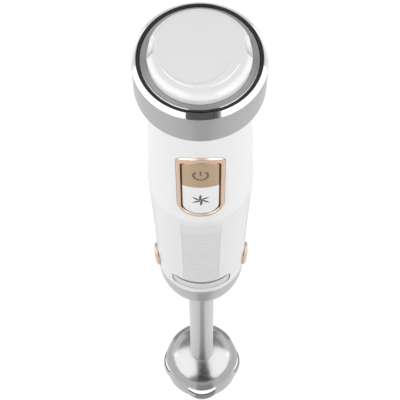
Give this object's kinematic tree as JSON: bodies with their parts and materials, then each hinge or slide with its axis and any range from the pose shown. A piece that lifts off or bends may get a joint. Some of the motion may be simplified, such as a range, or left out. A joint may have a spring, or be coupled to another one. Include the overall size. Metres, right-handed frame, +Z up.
{
  "type": "immersion blender",
  "caption": "Hand-held stick blender: white motor handle with steel collar, speed dial, front and side buttons, and a detachable steel shaft ending in a slotted blade guard.",
  "frame": {"origin": "centre of the blade guard's rim, on the surface that the blender stands on", "axes": "+Z up along the shaft to the speed dial; the button panel faces -Y; +X is to the right seen from the front"},
  "size_m": [0.0644, 0.0644, 0.4282],
  "materials": {
    "white_plastic": "gloss",
    "grip_plastic": "satin",
    "brushed_steel": "brushed",
    "polished_steel": "polished",
    "rose_gold": "metallic satin",
    "black_plastic": "satin",
    "smoked_window": "gloss",
    "grey_metal": "satin",
    "insulator": "matte",
    "circuit_board": "matte",
    "electrical_steel": "matte",
    "copper": "satin",
    "carbon": "matte",
    "rubber": "matte",
    "bronze": "satin",
    "film_capacitor": "gloss"
  },
  "bodies": {
    "motor_unit": {"upper_housing": "white_plastic", "lower_housing": "grip_plastic", "badge_plate": "white_plastic", "cord_gland": "black_plastic", "top_collar": "brushed_steel", "indicator_window": "smoked_window", "trim_ring": "black_plastic", "dial_deck": "black_plastic", "control_board": "circuit_board", "speed_potentiometer": "insulator", "switch_board": "circuit_board", "power_switch": "insulator", "turbo_switch": "insulator", "filter_capacitor": "film_capacitor", "button_bezel": "rose_gold", "coupling_socket": "insulator", "stator_core": "electrical_steel", "field_coil_front": "copper", "field_coil_rear": "copper", "lower_motor_bracket": "electrical_steel", "upper_motor_bracket": "electrical_steel", "lower_bearing": "bronze", "upper_bearing": "bronze", "lower_motor_mount": "rubber", "upper_motor_mount": "rubber", "brush_holder_front": "bronze", "brush_holder_rear": "bronze", "carbon_brush_front": "carbon", "carbon_brush_rear": "carbon", "motor_screw_left": "electrical_steel", "motor_screw_right": "electrical_steel"},
    "rotor": {"rotor_shaft": "polished_steel", "armature_core": "electrical_steel", "armature_winding_lower": "copper", "armature_winding_upper": "copper", "commutator": "copper", "cooling_fan": "black_plastic", "drive_coupler": "insulator"},
    "speed_dial": {"dial_knob": "white_plastic", "dial_skirt": "grey_metal", "dial_shaft": "black_plastic"},
    "power_key": {"power_button": "rose_gold"},
    "turbo_key": {"turbo_button": "white_plastic"},
    "release_left": {"release_button_left": "rose_gold"},
    "release_right": {"release_button_right": "rose_gold"},
    "blending_shaft": {"shaft_ferrule": "brushed_steel", "coupling_neck": "insulator", "shaft_tube": "brushed_steel", "blade_guard": "polished_steel", "upper_bushing": "bronze", "lower_bushing": "bronze", "shaft_seal": "rubber"},
    "blade_drive": {"driven_coupler": "insulator", "drive_shaft": "polished_steel", "blade": "polished_steel", "blade_nut": "polished_steel"}
  },
  "joints": [
    {"name": "dial_turn", "type": "hinge", "parent": "motor_unit", "child": "speed_dial", "pos_m": [0, 0, 0.424], "axis": [0, 0, 1], "range_deg": [-70, 70]},
    {"name": "power_press", "type": "slide", "parent": "motor_unit", "child": "power_key", "axis": [0, 1, 0], "range_m": [0, 0.0015], "stiffness_N_per_m": 600, "springref_m": -0.0008},
    {"name": "turbo_press", "type": "slide", "parent": "motor_unit", "child": "turbo_key", "axis": [0, 1, 0], "range_m": [0, 0.0015], "stiffness_N_per_m": 600, "springref_m": -0.0008},
    {"name": "release_left_press", "type": "slide", "parent": "motor_unit", "child": "release_left", "axis": [0.9848, 0.1736, 0], "range_m": [0, 0.002], "stiffness_N_per_m": 800, "springref_m": -0.001},
    {"name": "release_right_press", "type": "slide", "parent": "motor_unit", "child": "release_right", "axis": [-0.9848, 0.1736, 0], "range_m": [0, 0.002], "stiffness_N_per_m": 800, "springref_m": -0.001},
    {"name": "rotor_spin", "type": "hinge", "parent": "motor_unit", "child": "rotor", "pos_m": [0, 0, 0.28], "axis": [0, 0, 1], "continuous": true},
    {"name": "shaft_release", "type": "slide", "parent": "motor_unit", "child": "blending_shaft", "axis": [0, 0, -1], "range_m": [0, 0.06]},
    {"name": "blade_spin", "type": "hinge", "parent": "blending_shaft", "child": "blade_drive", "pos_m": [0, 0, 0.0124], "axis": [0, 0, 1], "continuous": true}
  ],
  "couplings": [
    {"joint": "blade_spin", "follows": "rotor_spin", "ratio": 1}
  ]
}
